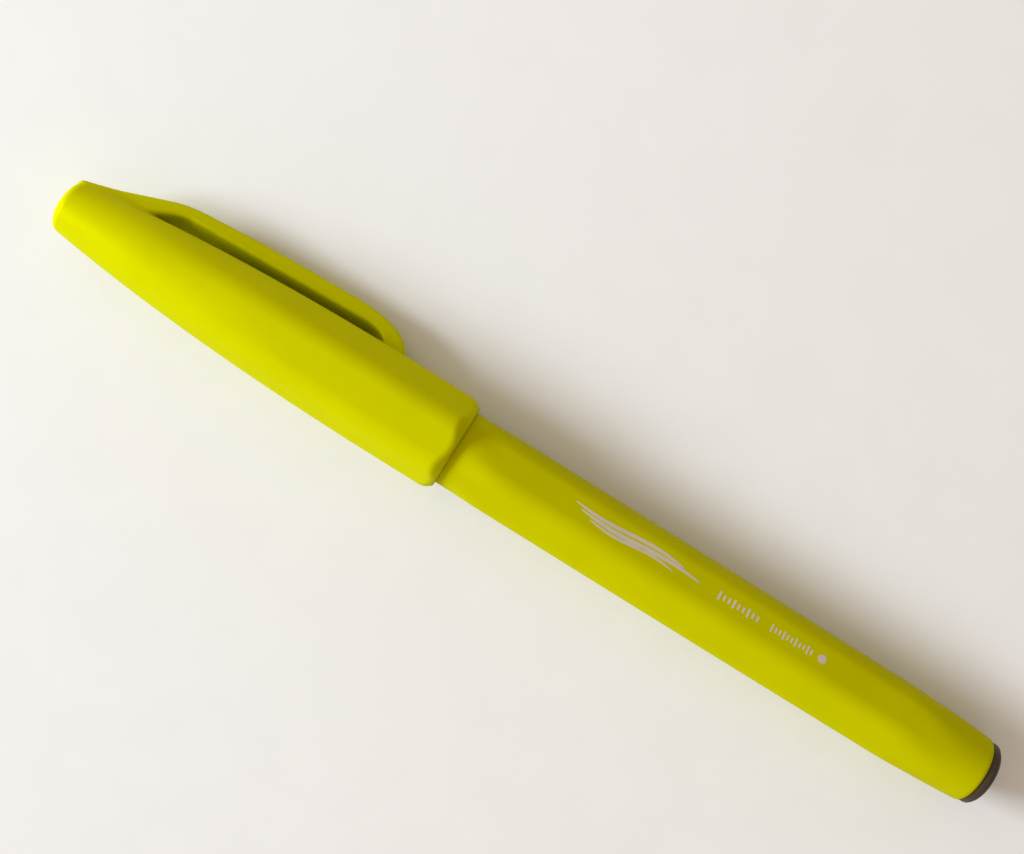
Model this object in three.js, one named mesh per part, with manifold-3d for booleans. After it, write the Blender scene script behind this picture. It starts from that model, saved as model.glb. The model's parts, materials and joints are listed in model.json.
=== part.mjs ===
// A capped brush pen lying on its side, with every piece that it would come apart into.
//
// Units are millimetres. Each piece is drawn along the pen's own axis, local X, which runs from
// the cap's closed end at 0 to the tail at LENGTH. Local Z is up and local Y is the side that the
// pocket clip is on. The whole pen is then tilted onto its three resting points: the mouth of the
// cap, the clip and the tail of the barrel.

import * as THREE from 'three';
import { mergeVertices } from 'three/addons/utils/BufferGeometryUtils.js';
import Module from 'manifold-3d';

const wasm = await Module();
wasm.setup();

// ---- Driving dimensions -------------------------------------------------------------------

const LENGTH = 140.8;
const GAP = 0.3; // between pieces that are cut from one another

// Cap: a soft ogive, round at its closed end and six-sided with rounded corners at its mouth.
const CAP_MOUTH = 59.7; // where the cap's mouth is along the axis
const CAP_RADIUS = 6.6; // at its rounded corners, towards the mouth
const CAP_FULL = 51.25; // the cap keeps its full radius from here to the mouth
const CAP_TAPER = 3.23; // how much narrower its closed end is, on the radius
const CAP_END_FLAT = 2.5; // radius of the flat on its closed end
const CAP_WALL = 1.15;
const CAP_CORNER = 0.52; // rounding of its corners, as a share of the middle's distance to a side
const CAP_LIP_RADIUS = 5.82; // the round rim of the mouth, where a cone cuts the six sides back
const CAP_LIP_SLOPE = 0.68; // of that cone: radius gained per length

// The hollow of the cap, from its mouth inwards.
const CAP_LIP_BORE = 5.4; // runs over the barrel's shoulder
const CAP_NECK_BORE = 4.95; // runs over the barrel's neck
const CAP_LIP_DEPTH = 4.2;
const CAP_NECK_END = 33; // the straight neck bore ends and the hollow starts to taper
const CAP_HOLLOW_END = 3;

// Pocket clip: a ramp from the cap's closed end, a long arm and a hook that turns back in.
const CLIP_BELOW_LEVEL = THREE.MathUtils.degToRad(28); // the clip points this far below level
const CAP_SIDE_ANGLE = Math.PI / 2 + CLIP_BELOW_LEVEL; // a side's middle, from up towards +Y
const CLIP_WIDTH = 4.4;
const CLIP_EDGE = 0.5; // rounding of its long edges
const CLIP_BEND = 12.4; // the ramp turns into the arm
const CLIP_SPLIT = 9.7; // the arm springs from the ramp here
const CLIP_TOP = 10; // the arm's greatest reach from the axis
const CLIP_HOOK_END = 48.2;

// Barrel: six soft sides between two round ends, a shoulder and a plain neck under the cap.
const BARREL_FRONT = 40;
const BARREL_SHOULDER = 56.2;
const BARREL_END = 138.95;
const BARREL_RADIUS = 5.24; // of its round ends, if they were as full as the rest
const BARREL_FULLEST = 76;
const BARREL_TAIL = 125.5; // the tail starts to narrow here
const BARREL_NECK = 4.7;
const BARREL_BORE = 3.85;
const BARREL_SIDES = [60.5, 66, 126, 134]; // the sides fade in and out between these places
const BARREL_CORNER = 0.5; // rounding of its corners, as a share of the middle's distance to a side
const BARREL_ROUND = 1.03; // the radius of its round ends, as a share of that distance
const BARREL_SIDE_ANGLE = THREE.MathUtils.degToRad(22); // a side's middle, from up towards +Y

// Front section, tip and ink parts.
const NOZZLE_FRONT = 24.3;
const NOZZLE_RADIUS = 1.95;
const SEAL_RADIUS = 2.5; // the cylinder that the inner cap closes on
const SEAL_END = 33.3;
const FLANGE_START = 38.2;
const SECTION_END = 50;
const TIP_POINT = 17;
const TIP_BASE = 24;
const TIP_RADIUS = 1.15;
const FEED_RADIUS = 1;
const FEED_END = 60;
const CORE_START = 53;
const CORE_END = 127;
const CORE_RADIUS = 3.2;
const FILM_INSIDE = 3.35;
const FILM_OUTSIDE = 3.6;
const FILM_OVERHANG = 1.2; // the wrap runs past the core at both ends
const HOLDER_START = 31.6;
const HOLDER_END = 42;
const INNER_CAP_START = 12;
const INNER_CAP_END = 33;
const INNER_CAP_BORE = 2.7;

// End plug.
const PLUG_HEAD = 4.33;
const PLUG_STEM = 3.65;
const PLUG_STEM_START = 130.5;

const ROUND_STEPS = 36; // around the six-sided pieces, six to a side
const INNER_STEPS = 24; // around the small pieces

// ---- Shape functions ----------------------------------------------------------------------

const { smoothstep, lerp } = THREE.MathUtils;

// The cap's outer radius along the axis, at its rounded corners.
function capRadius(x) {
  const toEnd = Math.max(0, (CAP_FULL - x) / CAP_FULL);
  return CAP_RADIUS - CAP_TAPER * (0.8 * toEnd ** 2 + 0.2 * toEnd ** 4);
}

// The radius along the axis of a round barrel that the six sides are cut from.
function barrelRadius(x) {
  const bulge = 5e-5 * (x - BARREL_FULLEST) ** 2;
  const tail = 2.8e-3 * Math.max(0, x - BARREL_TAIL) ** 2;
  return BARREL_RADIUS - bulge - tail;
}

// The distance to the edge of a six-sided section in some direction, where it is 1 at the middle
// of a side. Directions are measured from up towards +Y.
function sixSides(direction, sideMiddle, rounding) {
  const side = Math.PI / 3;
  const fromMiddle = direction - sideMiddle;
  const toMiddle = Math.abs(fromMiddle - side * Math.round(fromMiddle / side));
  const flatEnd = Math.atan((1 - rounding) * Math.tan(side / 2));
  if (toMiddle < flatEnd) {
    return 1 / Math.cos(toMiddle);
  }
  const centre = (1 - rounding) / Math.cos(side / 2); // of the corner's rounding, from the axis
  const toCorner = side / 2 - toMiddle;
  return centre * Math.cos(toCorner) + Math.sqrt(rounding ** 2 - (centre * Math.sin(toCorner)) ** 2);
}

// How far such a section reaches in some direction, on the same scale.
function sixSidesReach(direction, sideMiddle, rounding) {
  const side = Math.PI / 3;
  const fromCorner = direction - sideMiddle - side / 2;
  const toCorner = Math.abs(fromCorner - side * Math.round(fromCorner / side));
  return ((1 - rounding) * Math.cos(toCorner)) / Math.cos(side / 2) + rounding;
}

// 1 all round near the closed end, and at the corners towards the mouth.
function capSides(x, direction) {
  const share = sixSides(direction, CAP_SIDE_ANGLE, CAP_CORNER) / sixSides(Math.PI / 6, 0, CAP_CORNER);
  return lerp(1, share, smoothstep(x, 6, 46));
}

function barrelSides(x, direction) {
  const [start, full, fade, end] = BARREL_SIDES;
  const amount = smoothstep(x, start, full) * (1 - smoothstep(x, fade, end));
  return lerp(1, sixSides(direction, BARREL_SIDE_ANGLE, BARREL_CORNER) / BARREL_ROUND, amount);
}

// A solid turned about the pen's axis from an outline of [x, radius] points.
function turned(outline, steps = INNER_STEPS) {
  const points = outline.map(([x, radius]) => new THREE.Vector2(radius, x));
  return new THREE.LatheGeometry(points, steps).rotateZ(-Math.PI / 2);
}

// The outline of a tube, closed on itself. Its two sides are [x, radius] lists.
function tubeOutline(outside, inside) {
  return [...outside, ...inside.slice().reverse(), outside[0]];
}

// Points along a curve: radiusAt(x) at evenly spaced x.
function along(from, to, count, radiusAt) {
  return Array.from({ length: count + 1 }, (_, i) => {
    const x = lerp(from, to, i / count);
    return [x, radiusAt(x)];
  });
}

// Shapes the points outside innerRadius by a factor of their place and direction.
function shaped(geometry, innerRadius, factor) {
  const place = geometry.attributes.position;
  for (let i = 0; i < place.count; i++) {
    const [x, y, z] = [place.getX(i), place.getY(i), place.getZ(i)];
    if (Math.hypot(y, z) > innerRadius) {
      const scale = factor(x, Math.atan2(y, z));
      place.setXYZ(i, x, y * scale, z * scale);
    }
  }
  return geometry;
}

function solid(geometry) {
  const bare = geometry.clone();
  bare.deleteAttribute('normal');
  bare.deleteAttribute('uv');
  const merged = mergeVertices(bare, 1e-4);
  const mesh = new wasm.Mesh({
    numProp: 3,
    vertProperties: new Float32Array(merged.attributes.position.array),
    triVerts: new Uint32Array(merged.index.array),
  });
  return new wasm.Manifold(mesh);
}

function geometryOf(manifold) {
  const mesh = manifold.getMesh();
  const geometry = new THREE.BufferGeometry();
  geometry.setAttribute('position', new THREE.BufferAttribute(mesh.vertProperties, 3));
  geometry.setIndex(new THREE.BufferAttribute(mesh.triVerts, 1));
  geometry.computeVertexNormals();
  return geometry;
}

function slab(fromX, toX) {
  const size = 40;
  return solid(new THREE.BoxGeometry(toX - fromX, size, size).translate((fromX + toX) / 2, 0, 0));
}

// ---- Cap and pocket clip ------------------------------------------------------------------

// The cap's outside, grown by a margin. A cone cuts its six sides back to a round rim.
function capOutside(margin = 0) {
  const body = shaped(turned([
    [-margin, 0],
    [-margin, CAP_END_FLAT],
    [0.2 - margin / 2, CAP_END_FLAT + 0.45 + margin / 2],
    ...along(0.8, CAP_FULL, 12, (x) => capRadius(x) + margin),
    [CAP_MOUTH + margin, CAP_RADIUS + margin],
    [CAP_MOUTH + margin, 0],
  ], ROUND_STEPS), CAP_END_FLAT + 0.5, capSides);
  const cone = turned([
    [CAP_MOUTH - 3, 0],
    [CAP_MOUTH - 3, CAP_LIP_RADIUS + 3 * CAP_LIP_SLOPE + margin],
    [CAP_MOUTH + 1, CAP_LIP_RADIUS - CAP_LIP_SLOPE + margin],
    [CAP_MOUTH + 1, 0],
  ], ROUND_STEPS);
  const aroundCone = slab(CAP_MOUTH - 2, LENGTH).subtract(solid(cone));
  return solid(body).subtract(aroundCone);
}

function capHollow() {
  return turned([
    [CAP_HOLLOW_END, 0],
    [CAP_HOLLOW_END, 1.8],
    ...along(4.2, CAP_NECK_END, 4, (x) => Math.min(CAP_NECK_BORE, capRadius(x) - CAP_WALL)),
    [CAP_MOUTH - CAP_LIP_DEPTH - 0.4, CAP_NECK_BORE],
    [CAP_MOUTH - CAP_LIP_DEPTH, CAP_LIP_BORE],
    [CAP_MOUTH - 0.3, CAP_LIP_BORE],
    [CAP_MOUTH + 0.1, CAP_LIP_BORE + 0.15],
    [CAP_MOUTH + 0.1, 0],
  ], ROUND_STEPS);
}

// The clip's side view, x along the pen and y away from its axis.
function clipSideView() {
  const foot = CAP_RADIUS - 1.2; // the hook is drawn into the cap, whose surface cuts it off
  const view = new THREE.Shape();
  view.moveTo(1.6, 2.4);
  view.lineTo(0.75, 3.02);
  view.lineTo(CLIP_BEND - 1, 7.7);
  view.quadraticCurveTo(CLIP_BEND + 1, 8.62, CLIP_BEND + 5.1, 8.88);
  view.quadraticCurveTo(CLIP_BEND + 14.6, 9.75, CLIP_BEND + 26.1, CLIP_TOP);
  view.bezierCurveTo(CLIP_HOOK_END - 4.6, 10.05, CLIP_HOOK_END - 1.3, 9.2, CLIP_HOOK_END, foot);
  view.lineTo(CLIP_HOOK_END - 3.5, foot);
  view.quadraticCurveTo(CLIP_HOOK_END - 4, 7.75, CLIP_HOOK_END - 7, 7.85);
  view.lineTo(CLIP_BEND + 2.6, 6.74);
  view.quadraticCurveTo(CLIP_BEND + 0.8, 6.65, CLIP_SPLIT - 0.1, 4);
  view.closePath();
  return view;
}

function wholeClip() {
  const geometry = new THREE.ExtrudeGeometry(clipSideView(), {
    depth: CLIP_WIDTH - 2 * CLIP_EDGE,
    curveSegments: 6,
    bevelSize: CLIP_EDGE,
    bevelOffset: -CLIP_EDGE,
    bevelThickness: CLIP_EDGE,
    bevelSegments: 2,
  });
  geometry.translate(0, 0, CLIP_EDGE - CLIP_WIDTH / 2);
  return solid(geometry.rotateX(-CLIP_BELOW_LEVEL));
}

function capShell() {
  const ramp = wholeClip().intersect(slab(-1, CLIP_SPLIT));
  const body = capOutside().add(ramp);
  return geometryOf(body.subtract(solid(capHollow())));
}

function pocketClip() {
  const arm = wholeClip().intersect(slab(CLIP_SPLIT + GAP, LENGTH));
  return geometryOf(arm.subtract(capOutside(GAP)));
}

// The thin liner that closes round the nozzle and keeps the tip from drying.
function innerCap() {
  const outside = [
    [INNER_CAP_START, 0],
    [INNER_CAP_START, 2.5],
    [INNER_CAP_START + 0.9, 3.3],
    [26, 3.4],
    [29, 4.1],
    [29.6, 4.45],
    [INNER_CAP_END, 4.45],
  ];
  const inside = [
    [INNER_CAP_START + 1, 0],
    [INNER_CAP_START + 1, 2.2],
    [INNER_CAP_START + 1.7, INNER_CAP_BORE],
    [INNER_CAP_END - 0.7, INNER_CAP_BORE],
    [INNER_CAP_END, INNER_CAP_BORE + 0.4],
  ];
  return turned([...outside, ...inside.reverse()]);
}

// ---- Barrel and end plug ------------------------------------------------------------------

function barrel() {
  const outside = [
    [BARREL_FRONT, BARREL_NECK - 0.3],
    [BARREL_FRONT + 0.3, BARREL_NECK],
    [50, BARREL_NECK],
    [50.4, BARREL_NECK + 0.12],
    [51.2, BARREL_NECK + 0.12],
    [51.6, BARREL_NECK],
    [BARREL_SHOULDER - 0.4, BARREL_NECK],
    [BARREL_SHOULDER, barrelRadius(BARREL_SHOULDER)],
    ...along(BARREL_SIDES[0], BARREL_SIDES[1], 2, barrelRadius),
    ...along(BARREL_SIDES[1] + 12, BARREL_SIDES[2], 4, barrelRadius),
    ...along(BARREL_SIDES[2] + 3, BARREL_END - 0.4, 5, barrelRadius),
    [BARREL_END, barrelRadius(BARREL_END) - 0.2],
  ];
  const inside = [
    [BARREL_FRONT, BARREL_BORE + 0.2],
    [BARREL_FRONT + 0.3, BARREL_BORE],
    [BARREL_END - 0.1, BARREL_BORE],
    [BARREL_END, BARREL_BORE + 0.05],
  ];
  const geometry = turned(tubeOutline(outside, inside), ROUND_STEPS);
  return shaped(geometry, BARREL_BORE + 0.2, barrelSides);
}

// A cup with a wider head. Its open side faces the ink parts.
function endPlug() {
  const headStart = BARREL_END + GAP;
  return turned([
    [PLUG_STEM_START + 4.5, 0],
    [PLUG_STEM_START + 4.5, PLUG_STEM - 1],
    [PLUG_STEM_START, PLUG_STEM - 0.9],
    [PLUG_STEM_START, PLUG_STEM - 0.3],
    [PLUG_STEM_START + 1, PLUG_STEM],
    [headStart, PLUG_STEM],
    [headStart, PLUG_HEAD],
    [LENGTH - 0.95, PLUG_HEAD],
    [LENGTH - 0.5, PLUG_HEAD - 0.15],
    [LENGTH - 0.15, PLUG_HEAD - 0.5],
    [LENGTH, PLUG_HEAD - 0.95],
    [LENGTH, 0],
  ], ROUND_STEPS);
}

// ---- Front section, tip and ink parts -----------------------------------------------------

function frontSection() {
  const outside = [
    [NOZZLE_FRONT, NOZZLE_RADIUS - 0.25],
    [NOZZLE_FRONT + 0.35, NOZZLE_RADIUS],
    [30.6, SEAL_RADIUS],
    [SEAL_END, SEAL_RADIUS],
    [34.4, 2.9],
    [FLANGE_START, 4.3],
    [FLANGE_START + 0.4, 4.6],
    [BARREL_FRONT - GAP, 4.6],
    [BARREL_FRONT - GAP, 3.7],
    [SECTION_END, 3.6],
  ];
  const inside = [
    [NOZZLE_FRONT, 1.35],
    [NOZZLE_FRONT + 0.35, 1.2],
    [31, 1.2],
    [31.3, 2.15],
    [SECTION_END - 4, 2.15],
    [SECTION_END, 2.9],
  ];
  return turned(tubeOutline(outside, inside));
}

// The flexible tip: a full bullet that narrows to a point.
function brushTip() {
  const length = TIP_BASE - TIP_POINT;
  const radiusAt = (x) => TIP_RADIUS * Math.sin(((x - TIP_POINT) / length) * Math.PI / 2) ** 0.75;
  return turned([
    [TIP_POINT, 0],
    ...along(TIP_POINT + 0.25, TIP_BASE - 0.15, 8, radiusAt),
    [TIP_BASE, TIP_RADIUS - 0.1],
    [TIP_BASE, 0],
  ]);
}

// The collar that grips the feed rod and leaves air channels beside it.
function tipHolder() {
  const outside = [[HOLDER_START, 1.75], [HOLDER_START + 0.3, 1.95], [HOLDER_END, 1.95]];
  const inside = [[HOLDER_START, 1.2], [HOLDER_END, 1.2]];
  return turned(tubeOutline(outside, inside));
}

function feedRod() {
  return turned([
    [NOZZLE_FRONT + 0.1, 0],
    [NOZZLE_FRONT + 0.1, FEED_RADIUS],
    [FEED_END - 1.2, FEED_RADIUS],
    [FEED_END, 0.3],
    [FEED_END, 0],
  ]);
}

// The fibre core that holds the ink, with the hole that the feed rod makes in its front.
function reservoirCore() {
  return turned([
    [FEED_END + 0.4, 0],
    [FEED_END, FEED_RADIUS + 0.2],
    [CORE_START, FEED_RADIUS + 0.2],
    [CORE_START, CORE_RADIUS],
    [CORE_END, CORE_RADIUS],
    [CORE_END, 0],
  ]);
}

function reservoirFilm() {
  const [start, end] = [CORE_START - FILM_OVERHANG, CORE_END + FILM_OVERHANG];
  const outside = [[start, FILM_OUTSIDE], [end, FILM_OUTSIDE]];
  const inside = [[start, FILM_INSIDE], [end, FILM_INSIDE]];
  return turned(tubeOutline(outside, inside));
}

// ---- The pen ------------------------------------------------------------------------------

function plastic(color, roughness) {
  return new THREE.MeshStandardMaterial({ color, roughness, metalness: 0 });
}

const LIME = 0xd2d800;
const DARK = 0x4c4238;

const pieces = {
  cap_shell: [capShell(), plastic(LIME, 0.35)],
  pocket_clip: [pocketClip(), plastic(LIME, 0.35)],
  inner_cap: [innerCap(), plastic(0xe9e7de, 0.5)],
  barrel: [barrel(), plastic(LIME, 0.4)],
  end_plug: [endPlug(), plastic(DARK, 0.45)],
  front_section: [frontSection(), plastic(DARK, 0.45)],
  brush_tip: [brushTip(), plastic(0x9aa51a, 0.8)],
  tip_holder: [tipHolder(), plastic(0xd9d7cc, 0.5)],
  feed_rod: [feedRod(), plastic(0xc3c46a, 0.85)],
  reservoir_core: [reservoirCore(), plastic(0xaeb52a, 0.95)],
  reservoir_film: [reservoirFilm(), plastic(0xe6e8dc, 0.2)],
};

const pen = new THREE.Group();
for (const [name, [geometry, material]] of Object.entries(pieces)) {
  const mesh = new THREE.Mesh(geometry, material);
  mesh.name = name;
  pen.add(mesh);
}

// The pen rests on a side of the cap's mouth and, towards the tail, on a corner of the barrel.
const capMiddle = CAP_RADIUS / sixSides(Math.PI / 6, 0, CAP_CORNER);
const capRest = capMiddle * sixSidesReach(Math.PI, CAP_SIDE_ANGLE, CAP_CORNER);
const tailRest = BARREL_SIDES[2];
const tailMiddle = barrelRadius(tailRest) / BARREL_ROUND;
const tailReach = tailMiddle * sixSidesReach(Math.PI, BARREL_SIDE_ANGLE, BARREL_CORNER);
const tailDrop = capRest - tailReach;
pen.rotation.y = Math.asin(tailDrop / (tailRest - CAP_MOUTH + 1.1));

// The origin is under the middle of the whole pen, on the surface that it lies on.
const placed = new THREE.Group();
placed.add(pen);
placed.updateMatrixWorld(true);
const box = new THREE.Box3().setFromObject(placed, true);
const middle = box.getCenter(new THREE.Vector3());
placed.position.set(-middle.x, -middle.y, -box.min.z);

export default placed;
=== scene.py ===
"""A capped brush pen lying on a pale table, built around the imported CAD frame.

Shapes are worked out in the pen's own frame, in millimetres: x runs along the axis from the cap's
closed end to the tail, y is the side that the clip is on and z is up. The frame's joints say where
that axis lies, and place() carries the points into the row frame, in metres.
"""

import json
import math

import bmesh
import bpy
import numpy as np
from mathutils import Matrix, Vector


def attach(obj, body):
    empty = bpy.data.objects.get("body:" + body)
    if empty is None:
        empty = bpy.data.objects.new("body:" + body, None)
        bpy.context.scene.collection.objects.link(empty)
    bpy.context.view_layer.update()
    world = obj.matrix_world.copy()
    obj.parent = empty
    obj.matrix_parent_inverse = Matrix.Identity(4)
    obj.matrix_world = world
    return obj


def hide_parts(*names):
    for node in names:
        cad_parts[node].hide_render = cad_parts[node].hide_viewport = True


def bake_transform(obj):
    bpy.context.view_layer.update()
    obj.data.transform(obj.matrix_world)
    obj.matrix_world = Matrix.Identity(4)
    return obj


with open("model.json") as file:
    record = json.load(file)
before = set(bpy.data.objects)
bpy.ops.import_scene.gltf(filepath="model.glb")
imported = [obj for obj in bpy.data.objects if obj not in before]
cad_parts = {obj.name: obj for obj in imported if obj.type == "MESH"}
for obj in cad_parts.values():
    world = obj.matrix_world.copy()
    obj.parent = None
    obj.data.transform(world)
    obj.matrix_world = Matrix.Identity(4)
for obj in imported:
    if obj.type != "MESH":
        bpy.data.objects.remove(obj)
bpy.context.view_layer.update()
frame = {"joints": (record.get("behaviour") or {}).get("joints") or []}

MM = 0.001
JOINTS = {joint["name"]: joint for joint in frame["joints"]}
CAP_END = np.array(JOINTS["cap_turn"]["pos_m"])
AXIS = np.array(JOINTS["cap_turn"]["axis"])
SIDE = np.array([0.0, 1.0, 0.0])
UP = np.cross(AXIS, SIDE)

# Cap. The places along the pen are x, and a corner's rounding is a share of the distance from the
# axis to the middle of a side.
CAP_MOUTH = 59.7
CAP_RADIUS = 6.6  # at its corners
CAP_FULL = 51.25  # the cap keeps its full radius from here to the mouth
CAP_TAPER = 3.23  # how much narrower its closed end is, on the radius
CAP_WALL = 1.15
CAP_CORNER = 0.52
CAP_SIDES = (6.0, 46.0)  # the six sides fade in between these places
CAP_LIP_RADIUS = 5.82  # the rim of the mouth, where a cone cuts the six sides back
CAP_LIP_SLOPE = 0.68  # of that cone: radius gained per length
CAP_LIP_BORE = 5.4
CAP_NECK_BORE = 4.95
CAP_LIP_DEPTH = 4.2
CAP_NECK_END = 33.0
CAP_HOLLOW_END = 3.0

# Pocket clip. A side's middle is measured from up towards the clip's side.
CLIP_BELOW_LEVEL = math.radians(28.0)
CAP_SIDE_ANGLE = math.pi / 2 + CLIP_BELOW_LEVEL
CLIP_WIDTH = 4.4
CLIP_EDGE = 0.5
CLIP_BEND = 12.4  # the ramp turns into the arm
CLIP_SPLIT = 9.7  # the arm springs from the ramp
CLIP_TOP = 10.0  # the arm's greatest reach from the axis
CLIP_HOOK_END = 48.2

# Barrel. Its round ends are a share larger than the distance to the middle of a side.
BARREL_FRONT = 40.0
BARREL_SHOULDER = 56.2
BARREL_END = 138.95
BARREL_RADIUS = 5.24
BARREL_FULLEST = 76.0
BARREL_TAIL = 125.5
BARREL_NECK = 4.7
BARREL_BORE = 3.85
BARREL_SIDES = (60.5, 66.0, 126.0, 134.0)  # the six sides fade in and out
BARREL_CORNER = 0.5
BARREL_ROUND = 1.03
BARREL_SIDE_ANGLE = math.radians(22)

# Front section, tip, ink parts and end plug.
NOZZLE_FRONT = 24.3
SEAL_RADIUS = 2.5
SEAL_END = 33.3
FLANGE_START = 38.2
SECTION_END = 50.0
TIP_POINT = 17.0
PLUG_STEM = 3.65
PLUG_HEAD = 4.33
LENGTH = 140.8

AROUND = 144  # steps around a large turned piece
NET_STEP = 0.25  # the cap's and clip's mesh size
FAR = 9.0  # a distance that leaves a point out of a shape


# ---- Frames and shapes ----------------------------------------------------------------------


def place(points):
    """Points in the pen's own frame, in millimetres, as points in the row frame, in metres."""
    x, y, z = np.asarray(points, float).T
    return CAP_END + MM * (np.outer(x, AXIS) + np.outer(y, SIDE) + np.outer(z, UP))


def turn_directions(vectors):
    """Directions in the pen's own frame as directions in the row frame."""
    x, y, z = np.asarray(vectors, float).T
    return np.outer(x, AXIS) + np.outer(y, SIDE) + np.outer(z, UP)


def smooth_step(x, low, high):
    t = np.clip((x - low) / (high - low), 0, 1)
    return t * t * (3 - 2 * t)


def cap_radius(x):
    to_end = np.maximum(0, (CAP_FULL - x) / CAP_FULL)
    return CAP_RADIUS - CAP_TAPER * (0.8 * to_end**2 + 0.2 * to_end**4)


def barrel_radius(x):
    bulge = 5e-5 * (x - BARREL_FULLEST) ** 2
    tail = 2.8e-3 * np.maximum(0, x - BARREL_TAIL) ** 2
    return BARREL_RADIUS - bulge - tail


def six_sides(direction, side_middle, rounding):
    """The distance to the edge of a six-sided section with rounded corners, where it is 1 at the
    middle of a side. Directions are measured from up towards the clip's side."""
    side = math.pi / 3
    from_middle = np.asarray(direction, float) - side_middle
    to_middle = np.abs(from_middle - side * np.round(from_middle / side))
    flat_end = math.atan((1 - rounding) * math.tan(side / 2))
    centre = (1 - rounding) / math.cos(side / 2)
    to_corner = side / 2 - to_middle
    across = np.minimum(centre * np.sin(to_corner), rounding)
    corner = centre * np.cos(to_corner) + np.sqrt(rounding**2 - across**2)
    return np.where(to_middle < flat_end, 1 / np.cos(to_middle), corner)


def cap_sides(x, direction):
    corner = float(six_sides(math.pi / 6, 0, CAP_CORNER))
    sides = six_sides(direction, CAP_SIDE_ANGLE, CAP_CORNER) / corner
    return 1 + (sides - 1) * smooth_step(x, *CAP_SIDES)


def barrel_sides(x, direction):
    start, full, fade, end = BARREL_SIDES
    amount = smooth_step(x, start, full) * (1 - smooth_step(x, fade, end))
    sides = six_sides(direction, BARREL_SIDE_ANGLE, BARREL_CORNER)
    return 1 + (sides / BARREL_ROUND - 1) * amount


def bezier(*controls, count=10):
    """Points on a Bezier curve, without its first point."""
    points = []
    for i in range(1, count + 1):
        level = [np.array(c, float) for c in controls]
        while len(level) > 1:
            level = [a + (b - a) * i / count for a, b in zip(level, level[1:])]
        points.append(tuple(level[0]))
    return points


def along(start, end, count, radius_at):
    """(x, radius) points on a curve, at evenly spaced x."""
    return [(x, float(radius_at(x))) for x in np.linspace(start, end, count + 1)]


def rounded(corners, segments=5):
    """An outline whose (x, radius, fillet) corners are rounded. Points without a fillet stay."""
    outline = []
    for i, corner in enumerate(corners):
        here = np.array(corner[:2], float)
        fillet = corner[2] if len(corner) > 2 else 0
        if not fillet:
            outline.append(tuple(here))
            continue
        before = np.array(corners[i - 1][:2], float) - here
        after = np.array(corners[(i + 1) % len(corners)][:2], float) - here
        u, v = before / np.linalg.norm(before), after / np.linalg.norm(after)
        half = math.acos(np.clip(u @ v, -1, 1)) / 2
        longest = 0.49 * min(np.linalg.norm(before), np.linalg.norm(after))
        reach = min(fillet / math.tan(half), longest)
        centre = here + (u + v) / np.linalg.norm(u + v) * reach / math.cos(half)
        first, last = here + u * reach, here + v * reach
        for t in np.linspace(0, 1, segments + 1):
            arm = (first - centre) * (1 - t) + (last - centre) * t
            arm *= np.linalg.norm(first - centre) / np.linalg.norm(arm)
            outline.append(tuple(centre + arm))
    return outline


# ---- Mesh making ----------------------------------------------------------------------------


def new_piece(name, points, faces, normals=None):
    mesh = bpy.data.meshes.new(name)
    mesh.from_pydata(place(points).tolist(), [], [list(map(int, f)) for f in faces])
    mesh.shade_smooth()
    mesh.update()
    if normals is not None:
        mesh.normals_split_custom_set_from_vertices(turn_directions(normals).tolist())
    piece = bpy.data.objects.new(name, mesh)
    bpy.context.scene.collection.objects.link(piece)
    return piece


def turned(name, outline, steps=AROUND, closed=False, shape=None, shape_outside=0.0):
    """A solid turned about the axis. The outline runs with the solid on its right, outwards first."""
    outline = np.array(outline, float)
    angles = np.arange(steps) * 2 * math.pi / steps
    points, rings = [], []
    for x, radius in outline:
        if radius < 1e-6:
            rings.append([len(points)] * steps)
            points.append((x, 0.0, 0.0))
            continue
        factor = 1.0
        if shape is not None and radius > shape_outside:
            factor = shape(x, angles)
        ring = np.stack([
            np.full(steps, x),
            radius * factor * np.sin(angles),
            radius * factor * np.cos(angles),
        ], 1)
        rings.append(list(range(len(points), len(points) + steps)))
        points.extend(map(tuple, ring))
    faces = []
    pairs = list(zip(rings, rings[1:]))
    if closed:
        pairs.append((rings[-1], rings[0]))
    for low, high in pairs:
        for i in range(steps):
            j = (i + 1) % steps
            face = [low[i], high[i], high[j], low[j]]
            face = [v for k, v in enumerate(face) if v != face[k - 1]]
            if len(face) > 2:
                faces.append(face)
    piece = new_piece(name, points, faces)
    weighted = piece.modifiers.new("weighted_normals", "WEIGHTED_NORMAL")
    weighted.keep_sharp = True
    return piece


def polygon_distance(x, y, outline):
    """The signed distance from points to a closed outline, negative inside."""
    outline = np.asarray(outline, np.float32)
    nearest = np.full(x.shape, 1e9, np.float32)
    inside = np.zeros(x.shape, bool)
    for (ax, ay), (bx, by) in zip(outline, np.roll(outline, -1, 0)):
        dx, dy = bx - ax, by - ay
        length = dx * dx + dy * dy
        if length < 1e-12:
            continue
        px, py = x - ax, y - ay
        t = np.clip((px * dx + py * dy) / length, 0, 1)
        nearest = np.minimum(nearest, (px - t * dx) ** 2 + (py - t * dy) ** 2)
        if dy != 0:
            crosses = (ay > y) != (by > y)
            inside ^= crosses & (px < py * dx / dy)
    distance = np.sqrt(nearest)
    return np.where(inside, -distance, distance)


def smooth_union(a, b, size):
    share = np.maximum(size - np.abs(a - b), 0) / size
    return np.minimum(a, b) - share * share * size / 4


def smooth_cut(a, b, size):
    return -smooth_union(-a, -b, size)


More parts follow.
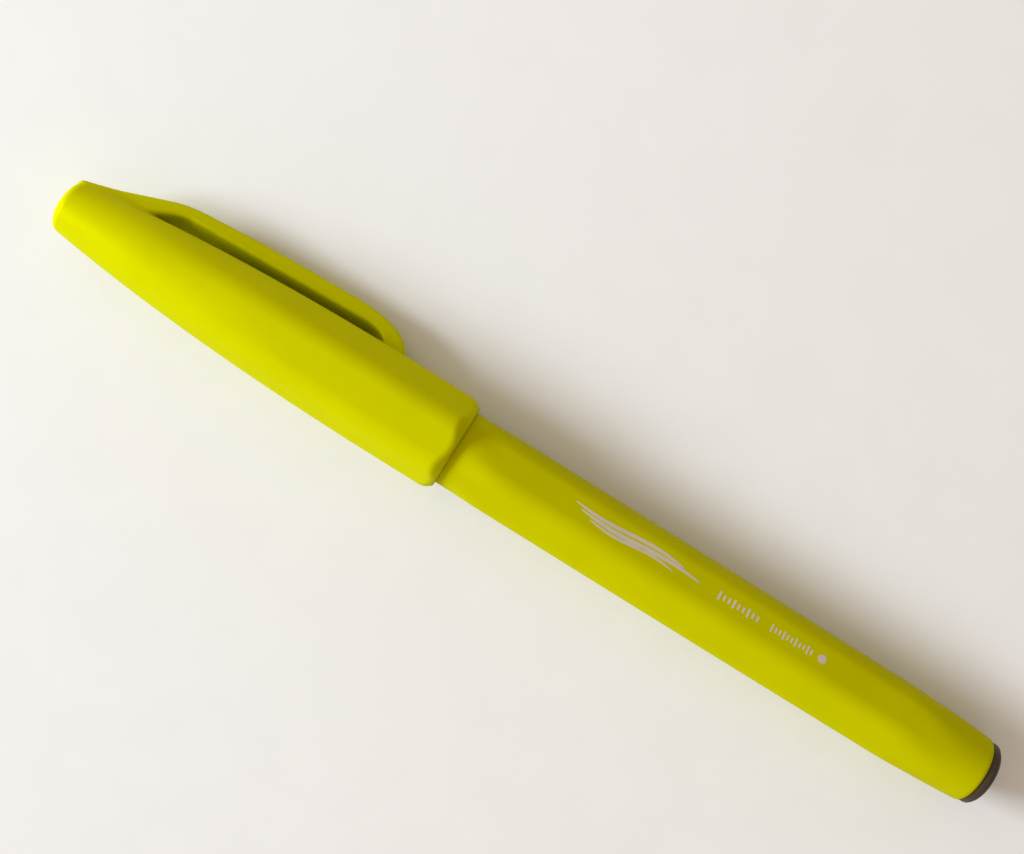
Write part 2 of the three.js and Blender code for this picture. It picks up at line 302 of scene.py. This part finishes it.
def surface_net(values, field, low, step):
    """The zero surface of a field, from its values on a grid: points, faces and normals."""
    inside = values < 0
    cells_x, cells_y, cells_z = (n - 1 for n in inside.shape)
    corners = sum(
        inside[i: i + cells_x, j: j + cells_y, k: k + cells_z].astype(np.int8)
        for i in (0, 1) for j in (0, 1) for k in (0, 1)
    )
    active = (corners > 0) & (corners < 8)
    index = np.full(active.shape, -1)
    index[active] = np.arange(active.sum())
    points = low + (np.argwhere(active) + 0.5) * step
    cell = points.copy()
    faces = []
    for axis in range(3):
        solid = np.moveaxis(inside, axis, 0)
        cells = np.moveaxis(index, axis, 0)
        crossing = solid[:-1, 1:-1, 1:-1] != solid[1:, 1:-1, 1:-1]
        i, j, k = np.nonzero(crossing)
        around = ((0, 0), (1, 0), (1, 1), (0, 1))
        quads = np.stack([cells[i, j + dj, k + dk] for dj, dk in around], 1)
        backwards = ~solid[i, j + 1, k + 1]
        if axis == 1:
            backwards = ~backwards
        quads[backwards] = quads[backwards, ::-1]
        faces.append(quads)
    small = 0.02
    for _ in range(5):
        here = field(points)
        slope = np.stack([(field(points + small * e) - here) / small for e in np.eye(3)], 1)
        points = points - (here / np.maximum((slope**2).sum(1), 0.05))[:, None] * slope
        points = np.clip(points, cell - 0.75 * step, cell + 0.75 * step)
    here = field(points)
    slope = np.stack([(field(points + small * e) - field(points - small * e)) for e in np.eye(3)], 1)
    length = np.maximum(np.linalg.norm(slope, axis=1), 1e-9)
    return points, np.concatenate(faces), slope / length[:, None]


# ---- Cap and pocket clip --------------------------------------------------------------------


def cap_outline():
    """The cap's outside in side view. It runs past the axis and past the mouth, where a cone and
    a plane cut it off."""
    end = [(0.3 * (r / 2.6) ** 2, r) for r in np.linspace(0, 2.6, 6)]
    rim = bezier(end[-1], (0.5, 3.35), (1.2, cap_radius(1.2)), count=8)
    side = along(2, CAP_FULL, 30, cap_radius)
    past = CAP_MOUTH + 3
    return [(0, -8)] + end + rim + side + [(past, CAP_RADIUS), (past, -8)]


def hollow_outline():
    start = CAP_MOUTH - CAP_LIP_DEPTH
    taper = along(4.2, CAP_NECK_END, 12, lambda x: min(CAP_NECK_BORE, cap_radius(x) - CAP_WALL))
    return [(CAP_HOLLOW_END, -8), (CAP_HOLLOW_END, 1.8)] + taper + [
        (start - 0.4, CAP_NECK_BORE),
        (start, CAP_LIP_BORE),
        (CAP_MOUTH - 0.3, CAP_LIP_BORE),
        (CAP_MOUTH + 0.1, CAP_LIP_BORE + 0.15),
        (CAP_MOUTH + 2, CAP_LIP_BORE + 0.15),
        (CAP_MOUTH + 2, -8),
    ]


def clip_outline():
    """The clip in side view: x along the pen and y away from its axis."""
    foot = CAP_RADIUS - 1.2
    hook = CLIP_HOOK_END
    ramp_end = (CLIP_BEND - 1, 7.7)
    arm_start = (CLIP_BEND + 5.1, 8.88)
    arm_end = (CLIP_BEND + 26.1, CLIP_TOP)
    inner_end = (CLIP_BEND + 2.6, 6.74)
    outline = [(1.6, 2.4), (0.75, 3.02), ramp_end]
    outline += bezier(ramp_end, (CLIP_BEND + 1, 8.62), arm_start)
    outline += bezier(arm_start, (CLIP_BEND + 14.6, 9.75), arm_end)
    outline += bezier(arm_end, (hook - 4.6, 10.05), (hook - 1.3, 9.2), (hook, foot), count=18)
    outline += [(hook - 3.5, foot)]
    outline += bezier((hook - 3.5, foot), (hook - 4, 7.75), (hook - 7, 7.85), count=14)
    outline += [inner_end]
    outline += bezier(inner_end, (CLIP_BEND + 0.8, 6.65), (CLIP_SPLIT - 0.1, 4), count=14)
    return outline


CAP_OUTLINE, HOLLOW_OUTLINE, CLIP_OUTLINE = cap_outline(), hollow_outline(), clip_outline()


def cap_and_clip_fields(points):
    """Distances from the cap and from the clip. Points are in the clip's frame: along the pen,
    away from the axis in the clip's direction, and across the clip."""
    x, reach, across = np.asarray(points, np.float32).T
    radius = np.hypot(reach, across)
    direction = CAP_SIDE_ANGLE - np.arctan2(across, reach)
    cap = polygon_distance(x, radius / cap_sides(x, direction), CAP_OUTLINE)
    cone = radius - CAP_LIP_RADIUS - CAP_LIP_SLOPE * (CAP_MOUTH - x)
    cap = smooth_cut(cap, cone / math.hypot(1, CAP_LIP_SLOPE), 0.35)
    cap = smooth_cut(cap, x - CAP_MOUTH, 0.15)
    clip = np.full(x.shape, FAR, np.float32)
    near = (reach > 1.5) & (np.abs(across) < CLIP_WIDTH / 2 + 1.5) & (x < CLIP_HOOK_END + 2)
    side = polygon_distance(x[near], reach[near], CLIP_OUTLINE) + CLIP_EDGE
    flat = np.abs(across[near]) - (CLIP_WIDTH / 2 - CLIP_EDGE)
    outside = np.hypot(np.maximum(side, 0), np.maximum(flat, 0))
    clip[near] = outside + np.minimum(np.maximum(side, flat), 0) - CLIP_EDGE
    hollow = polygon_distance(x, radius, HOLLOW_OUTLINE)
    return cap, clip, hollow


def moulding_field(points, with_clip):
    """The cap's root, where clip and cap are one, and beyond it the cap or the clip alone."""
    cap, clip, hollow = cap_and_clip_fields(points)
    x = np.asarray(points)[:, 0]
    fillet = 1.5 - smooth_step(x, 3, 11)
    shell = smooth_union(cap, clip, fillet)
    beyond = clip if with_clip else cap
    shell = np.where(x < CLIP_BEND + 8, shell, beyond)
    return np.maximum(shell, -hollow)


def from_clip_frame(vectors):
    """Turns the clip's frame into the pen's."""
    x, reach, across = vectors.T
    cos, sin = math.cos(CLIP_BELOW_LEVEL), math.sin(CLIP_BELOW_LEVEL)
    return np.stack([x, reach * cos + across * sin, across * cos - reach * sin], 1)


def make_cap_and_clip():
    low = np.array([-0.45, -7.05, -7.05])
    high = np.array([CAP_MOUTH + 0.6, CLIP_TOP + 0.6, 7.05])
    axes = [np.arange(a, b, NET_STEP) for a, b in zip(low, high)]
    grid = np.stack(np.meshgrid(*axes, indexing="ij"), -1)
    flat_grid = grid.reshape(-1, 3)
    pieces = {}
    for name, is_clip in (("cap_shell_moulding", False), ("pocket_clip_moulding", True)):
        def field(points, is_clip=is_clip):
            return moulding_field(points, is_clip)
        values = field(flat_grid).reshape(grid.shape[:3])
        points, faces, normals = surface_net(values, field, low, NET_STEP)
        middles = points[faces].mean(1)
        cap, clip, _ = cap_and_clip_fields(middles)
        on_clip = (middles[:, 0] > CLIP_SPLIT) & (clip < cap)
        faces = faces[on_clip == is_clip]
        used, faces = np.unique(faces, return_inverse=True)
        faces = faces.reshape(-1, 4)
        pieces[name] = close_holes(
            name, from_clip_frame(points[used]), faces, from_clip_frame(normals[used])
        )
    return pieces


def close_holes(name, points, faces, normals):
    """A piece whose cut edge, hidden against its neighbour, is closed by faces."""
    shell = bmesh.new()
    vertices = [shell.verts.new(p) for p in points]
    for face in faces:
        shell.faces.new([vertices[i] for i in face])
    shell.verts.index_update()
    edges = [e for e in shell.edges if len(e.link_faces) == 1]
    filled = bmesh.ops.holes_fill(shell, edges=edges, sides=0)
    bmesh.ops.triangulate(shell, faces=filled["faces"])
    shell.faces.ensure_lookup_table()
    all_faces = [[v.index for v in f.verts] for f in shell.faces]
    shell.free()
    return new_piece(name, points, all_faces, normals)


# ---- Barrel, plug and print -----------------------------------------------------------------


def make_barrel():
    outside = rounded([
        (BARREL_FRONT, BARREL_BORE + 0.2),
        (BARREL_FRONT, BARREL_NECK, 0.35),
        (50.2, BARREL_NECK, 0.3),
        (50.7, BARREL_NECK + 0.14, 0.5),
        (51.4, BARREL_NECK + 0.14, 0.5),
        (51.9, BARREL_NECK, 0.3),
        (BARREL_SHOULDER - 0.4, BARREL_NECK, 0.3),
        (BARREL_SHOULDER, float(barrel_radius(BARREL_SHOULDER)), 0.25),
    ])
    outside += along(BARREL_SHOULDER + 1, BARREL_END - 0.6, 110, barrel_radius)
    end = float(barrel_radius(BARREL_END))
    outside += bezier(outside[-1], (BARREL_END, end), (BARREL_END, end - 0.22), count=7)
    inside = [
        (BARREL_END, BARREL_BORE + 0.06),
        (BARREL_END - 0.3, BARREL_BORE),
        (BARREL_FRONT + 0.3, BARREL_BORE),
    ]
    return turned("barrel_moulding", outside + inside, closed=True, shape=barrel_sides,
                  shape_outside=BARREL_BORE + 0.15)


def make_end_plug():
    return turned("end_plug_moulding", [(135.0, 0.0)] + rounded([
        (135.0, PLUG_STEM - 1, 0.3),
        (130.5, PLUG_STEM - 0.9, 0.1),
        (130.5, PLUG_STEM, 0.5),
        (BARREL_END + 0.08, PLUG_STEM, 0.1),
        (BARREL_END + 0.08, PLUG_HEAD, 0.12),
        (LENGTH - 0.8, PLUG_HEAD, 0.5),
        (LENGTH, PLUG_HEAD - 0.9, 0.5),
    ]) + [(LENGTH, 0.0)])


def foil_mark(outline_2d, lift=0.012, depth=0.03):
    """One printed mark: a thin solid laid on the barrel. Its outline holds (x, across) points
    with x along the pen and across measured round the barrel from the middle of the side."""
    shape = bmesh.new()
    vertices = [shape.verts.new((x, a, 0)) for x, a in outline_2d]
    shape.faces.new(vertices)
    bmesh.ops.triangulate(shape, faces=shape.faces[:])
    bmesh.ops.subdivide_edges(shape, edges=shape.edges[:], cuts=1)
    flat = [(v.co.x, v.co.y) for v in shape.verts]
    shape.verts.index_update()
    top = [[v.index for v in f.verts] for f in shape.faces]
    directed = []
    for face in shape.faces:
        for loop in face.loops:
            if len(loop.edge.link_faces) == 1:
                directed.append((loop.vert.index, loop.link_loop_next.vert.index))
    shape.free()
    count = len(flat)
    points = [on_barrel(x, a, lift) for x, a in flat] + [on_barrel(x, a, -depth) for x, a in flat]
    faces = list(top) + [[i + count for i in reversed(f)] for f in top]
    faces += [[b, a, a + count, b + count] for a, b in directed]
    return points, faces


def on_barrel(x, across, lift):
    """A point on the printed side of the barrel, lifted off it."""
    direction = BARREL_SIDE_ANGLE - across / BARREL_RADIUS
    radius = float(barrel_radius(x)) * float(barrel_sides(x, direction)) + lift
    return (x, radius * math.sin(direction), radius * math.cos(direction))


def make_print():
    """A generic silver decoration: dry brush strokes, then two rows of bars and a dot."""
    marks = brush_stroke_marks()
    marks += bar_row(97.6, 104.0, 1.3, 9)
    marks += bar_row(105.5, 112.0, 1.2, 11)
    dot_middle, dot_radius = 113.3, 0.62
    turns = np.linspace(0, 2 * math.pi, 24, endpoint=False)
    marks.append([(dot_middle + dot_radius * math.cos(t), dot_radius * math.sin(t)) for t in turns])
    points, faces = [], []
    for mark in marks:
        mark_points, mark_faces = foil_mark(mark)
        faces += [[i + len(points) for i in f] for f in mark_faces]
        points += mark_points
    piece = new_piece("foil_print", points, faces)
    mesh = bmesh.new()
    mesh.from_mesh(piece.data)
    bmesh.ops.recalc_face_normals(mesh, faces=mesh.faces[:])
    mesh.to_mesh(piece.data)
    mesh.free()
    piece.data.set_sharp_from_angle(angle=math.radians(40))
    return piece


def bar_row(start, end, height, count):
    """A row of upright bars of two heights, like the marks on a rule."""
    pitch = (end - start) / count
    marks = []
    for i in range(count):
        x = start + (i + 0.5) * pitch
        half = height / 2 * (1 if i % 3 == 0 else 0.62)
        left, right = x - 0.22 * pitch, x + 0.22 * pitch
        marks.append([(left, -half), (right, -half), (right, half), (left, half)])
    return marks


def brush_stroke_marks():
    """Wavy strokes side by side that taper at both ends, as a dry brush leaves them."""
    start, end = 76.3, 94.9
    strokes = [(0, 0.86, 0.26), (0.06, 1, 0.3), (0.14, 0.8, 0.22)]  # first, last, width
    marks = []
    for row, (first, last, width) in enumerate(strokes):
        xs = np.linspace(start + first * (end - start), start + last * (end - start), 25)
        share = np.linspace(0, 1, 25)
        middle = 0.28 * np.sin(2 * math.pi * share) + 0.62 * (row - 1)
        half = width * np.sin(math.pi * np.clip(share * 0.94 + 0.03, 0, 1)) ** 0.5
        upper = list(zip(xs, middle + half))
        lower = list(zip(xs, middle - half))
        marks.append(lower + upper[::-1])
    return marks


# ---- Front section, tip and ink parts -------------------------------------------------------


def make_inner_cap():
    return turned("inner_cap_liner", [(12.0, 0.0)] + rounded([
        (12.0, 3.3, 0.8),
        (26.0, 3.4, 2),
        (29.2, 4.1, 0.3),
        (29.6, 4.45, 0.2),
        (33.0, 4.45, 0.2),
        (33.0, 3.1, 0.1),
        (32.3, 2.7, 0.3),
        (13.0, 2.7, 0.6),
    ]) + [(13.0, 0.0)], steps=96)


def make_front_section():
    outline = rounded([
        (NOZZLE_FRONT, 1.35, 0.05),
        (NOZZLE_FRONT, 1.95, 0.3),
        (30.6, SEAL_RADIUS, 0.6),
        (SEAL_END, SEAL_RADIUS, 0.6),
        (34.4, 2.9, 1.5),
        (FLANGE_START, 4.3, 0.2),
        (FLANGE_START + 0.05, 4.6, 0.2),
        (39.85, 4.6, 0.15),
        (39.85, 3.7, 0.05),
        (SECTION_END, 3.6, 0.2),
        (SECTION_END, 2.9, 0.1),
        (SECTION_END - 4, 2.15, 0.2),
        (31.3, 2.15, 0.1),
        (31.0, 1.2, 0.05),
        (NOZZLE_FRONT + 0.35, 1.2, 0.1),
    ])
    return turned("front_section_nozzle", outline, steps=96, closed=True)


def make_brush_tip():
    base = NOZZLE_FRONT + 0.25
    length = base - TIP_POINT

    def radius_at(x):
        return 1.12 * math.sin(max(0, (x - TIP_POINT) / length) * math.pi / 2) ** 0.75

    outline = [(TIP_POINT, 0.0)]
    outline += along(TIP_POINT + 0.06, base, 36, radius_at)
    outline += [(base + 0.9, 1.12), (base + 0.9, 0.0)]
    return turned("brush_tip_cone", outline, steps=64)


def make_tip_holder():
    return turned("tip_holder_collar", rounded([
        (31.6, 1.2, 0.05), (31.6, 1.95, 0.25), (42.0, 1.95, 0.15), (42.0, 1.2, 0.05),
    ]), steps=64, closed=True)


def make_feed_rod():
    return turned("feed_rod_fibre", [(NOZZLE_FRONT + 1.3, 0.0)] + rounded([
        (NOZZLE_FRONT + 1.3, 1.0, 0.05), (58.8, 1.0, 0.4), (60.0, 0.3, 0.2),
    ]) + [(60.0, 0.0)], steps=48)


def make_reservoir_core():
    return turned("reservoir_core_fibre", [(60.4, 0.0)] + rounded([
        (60.0, 1.2, 0.1), (53.0, 1.2, 0.1), (53.0, 3.2, 0.15), (127.0, 3.2, 0.15),
    ]) + [(127.0, 0.0)], steps=64)


def make_reservoir_film():
    return turned("reservoir_film_wrap", rounded([
        (51.8, 3.35), (51.8, 3.6), (128.2, 3.6), (128.2, 3.35),
    ]), steps=64, closed=True)


# ---- Materials ------------------------------------------------------------------------------


def material(name, base, roughness, bump=0.0, bump_scale=900.0, variation=0.03, metallic=0.0,
             stretch=(1.0, 1.0, 1.0), subsurface=0.0, gloss=0.5):
    """A procedural plastic: slow colour variation, uneven gloss and a fine bump."""
    made = bpy.data.materials.new(name)
    made.use_nodes = True
    nodes, links = made.node_tree.nodes, made.node_tree.links
    shader = nodes["Principled BSDF"]
    shader.inputs["Metallic"].default_value = metallic
    shader.inputs["IOR"].default_value = 1.49
    shader.inputs["Specular IOR Level"].default_value = gloss
    shader.inputs["Subsurface Weight"].default_value = subsurface
    shader.inputs["Subsurface Radius"].default_value = (0.6, 0.7, 0.15)
    shader.inputs["Subsurface Scale"].default_value = 1.2 * MM
    place_node = nodes.new("ShaderNodeTexCoord")
    stretched = nodes.new("ShaderNodeMapping")
    stretched.inputs["Scale"].default_value = stretch
    links.new(place_node.outputs["Object"], stretched.inputs["Vector"])

    def noise(scale, detail):
        node = nodes.new("ShaderNodeTexNoise")
        node.inputs["Scale"].default_value = scale
        node.inputs["Detail"].default_value = detail
        links.new(stretched.outputs["Vector"], node.inputs["Vector"])
        return node.outputs["Fac"]

    def ramp(value, low, high):
        node = nodes.new("ShaderNodeMapRange")
        node.inputs["To Min"].default_value = low
        node.inputs["To Max"].default_value = high
        node.inputs["From Min"].default_value = 0.3
        node.inputs["From Max"].default_value = 0.7
        links.new(value, node.inputs["Value"])
        return node.outputs["Result"]

    tint = nodes.new("ShaderNodeHueSaturation")
    tint.inputs["Color"].default_value = (*base, 1)
    links.new(ramp(noise(120, 3), 1 - variation, 1 + variation), tint.inputs["Value"])
    links.new(tint.outputs["Color"], shader.inputs["Base Color"])
    links.new(ramp(noise(400, 4), roughness - 0.04, roughness + 0.04), shader.inputs["Roughness"])
    if bump:
        height = nodes.new("ShaderNodeBump")
        height.inputs["Strength"].default_value = bump
        height.inputs["Distance"].default_value = 0.02 * MM
        links.new(noise(bump_scale, 3), height.inputs["Height"])
        links.new(height.outputs["Normal"], shader.inputs["Normal"])
    return made


CAP_LIME = (0.56, 0.57, 0.0)
# Painted shade: the barrel's lime is the cap's lime made darker, so that the barrel looks more shaded
# than the cap.
BARREL_SHADED_LIME = (0.5, 0.495, 0.0)


def make_materials():
    sheen = {"bump": 0.25, "gloss": 0.0, "metallic": 0.12}
    return {
        "cap_plastic": material("cap_plastic", CAP_LIME, 0.42, **sheen),
        # The barrel's finish takes the darker lime, a painted shade of the cap's colour.
        "barrel_plastic": material("barrel_plastic", BARREL_SHADED_LIME, 0.44, **sheen),
        "dark_plastic": material("dark_plastic", (0.05, 0.037, 0.02), 0.5, bump=0.3, gloss=0.3),
        "liner_plastic": material("liner_plastic", (0.78, 0.76, 0.7), 0.45, bump=0.2, subsurface=0.3),
        "tip_elastomer": material("tip_elastomer", (0.42, 0.48, 0.01), 0.6, bump=0.7,
                                  bump_scale=2500, stretch=(0.12, 1, 1), variation=0.12),
        "ink_fibre": material("ink_fibre", (0.5, 0.55, 0.04), 0.9, bump=0.9,
                              bump_scale=4000, stretch=(0.08, 1, 1), variation=0.12),
        "clear_film": material("clear_film", (0.85, 0.86, 0.8), 0.2, bump=0.2),
        "silver_foil": material("silver_foil", (0.62, 0.55, 0.43), 0.5, bump=0.3,
                                bump_scale=3000, variation=0.1, metallic=0.2),
    }


# ---- Stage ----------------------------------------------------------------------------------


IMAGE_RIGHT = np.array([0.8487, 0.5289, 0.0])
IMAGE_UP = np.array([-0.5289, 0.8487, 0.0])
PICTURE_MIDDLE = (64.4, 6.07, 0.0)  # in the pen's frame
VIEW_DISTANCE = 0.185  # from the camera down to the pen's axis
VIEW_WIDTH = 0.1327  # across the picture, at the height of the pen's axis


def make_camera():
    """Straight down, from rather close."""
    data = bpy.data.cameras.new("camera")
    data.sensor_width = 36
    data.lens = data.sensor_width * VIEW_DISTANCE / VIEW_WIDTH
    camera = bpy.data.objects.new("camera", data)
    eye = Vector(place([PICTURE_MIDDLE])[0]) + Vector((0, 0, VIEW_DISTANCE))
    turn = Matrix((IMAGE_RIGHT, IMAGE_UP, (0, 0, 1))).transposed().to_4x4()
    camera.matrix_world = Matrix.Translation(eye) @ turn
    bpy.context.scene.collection.objects.link(camera)
    bpy.context.scene.camera = camera


def make_floor():
    bpy.ops.mesh.primitive_plane_add(size=3, location=(0, 0, 0))
    floor = bpy.context.object
    floor.name = "table"
    floor.data.materials.append(material("table_top", (0.8, 0.8, 0.8), 0.5, variation=0.01))


WINDOW_AZIMUTH = math.radians(12)  # from the picture's left towards its top
WINDOW_HEIGHT = math.radians(24)  # above the table
WINDOW_DISTANCE = 1.2
WINDOW_SIZE = (0.5, 0.3)
WINDOW_POWER = 18.5
WINDOW_COLOUR = (0.9, 1.0, 1.1)
ROOM_COLOUR = (1.0, 0.84, 0.68)
ROOM_STRENGTH = 0.6
ROOM_LEAN = 0.36  # how much brighter the room is on the window's side, and dimmer opposite


def make_light():
    """A window low to the left of the picture, and a dim warm room around it."""
    level = -math.cos(WINDOW_AZIMUTH) * IMAGE_RIGHT + math.sin(WINDOW_AZIMUTH) * IMAGE_UP
    towards = math.cos(WINDOW_HEIGHT) * level + np.array([0, 0, math.sin(WINDOW_HEIGHT)])
    make_window(towards)
    make_room(level)


def make_window(towards):
    data = bpy.data.lights.new("window", "AREA")
    data.shape = "RECTANGLE"
    data.size, data.size_y = WINDOW_SIZE
    data.energy = WINDOW_POWER
    data.color = WINDOW_COLOUR
    window = bpy.data.objects.new("window", data)
    window.location = Vector(WINDOW_DISTANCE * towards)
    window.rotation_euler = window.location.to_track_quat("Z", "Y").to_euler()
    bpy.context.scene.collection.objects.link(window)


def make_room(level):
    world = bpy.data.worlds.new("room")
    world.use_nodes = True
    nodes, links = world.node_tree.nodes, world.node_tree.links
    direction = nodes.new("ShaderNodeTexCoord")
    lean = nodes.new("ShaderNodeVectorMath")
    lean.operation = "DOT_PRODUCT"
    lean.inputs[1].default_value = ROOM_LEAN * level
    strength = nodes.new("ShaderNodeMath")
    strength.inputs[1].default_value = ROOM_STRENGTH
    links.new(direction.outputs["Generated"], lean.inputs[0])
    links.new(lean.outputs["Value"], strength.inputs[0])
    links.new(strength.outputs["Value"], nodes["Background"].inputs["Strength"])
    nodes["Background"].inputs["Color"].default_value = (*ROOM_COLOUR, 1)
    bpy.context.scene.world = world


# ---- The scene ------------------------------------------------------------------------------


def finish_piece(piece, body, node, slot, finishes):
    piece.data.materials.append(finishes[slot])
    if node:
        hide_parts(node)
    if body:
        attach(piece, body)


def main():
    finishes = make_materials()
    moulding = make_cap_and_clip()
    finish_piece(moulding["cap_shell_moulding"], "cap", "cap_shell", "cap_plastic", finishes)
    clip = moulding["pocket_clip_moulding"]
    finish_piece(clip, None, "pocket_clip", "cap_plastic", finishes)
    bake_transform(clip)

    finish_piece(make_barrel(), "barrel", "barrel", "barrel_plastic", finishes)
    finish_piece(make_end_plug(), "barrel", "end_plug", "dark_plastic", finishes)
    foil = make_print()
    foil.data.materials.append(finishes["silver_foil"])
    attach(foil, "barrel")

    finish_piece(make_inner_cap(), "liner", "inner_cap", "liner_plastic", finishes)
    finish_piece(make_front_section(), "barrel", "front_section", "dark_plastic", finishes)
    finish_piece(make_tip_holder(), "barrel", "tip_holder", "liner_plastic", finishes)
    finish_piece(make_feed_rod(), "barrel", "feed_rod", "ink_fibre", finishes)
    finish_piece(make_reservoir_core(), "barrel", "reservoir_core", "ink_fibre", finishes)
    finish_piece(make_reservoir_film(), "barrel", "reservoir_film", "clear_film", finishes)
    tip = make_brush_tip()
    finish_piece(tip, None, "brush_tip", "tip_elastomer", finishes)
    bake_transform(tip)

    make_camera()
    make_floor()
    make_light()
    bpy.context.scene.view_settings.view_transform = "Standard"


main()
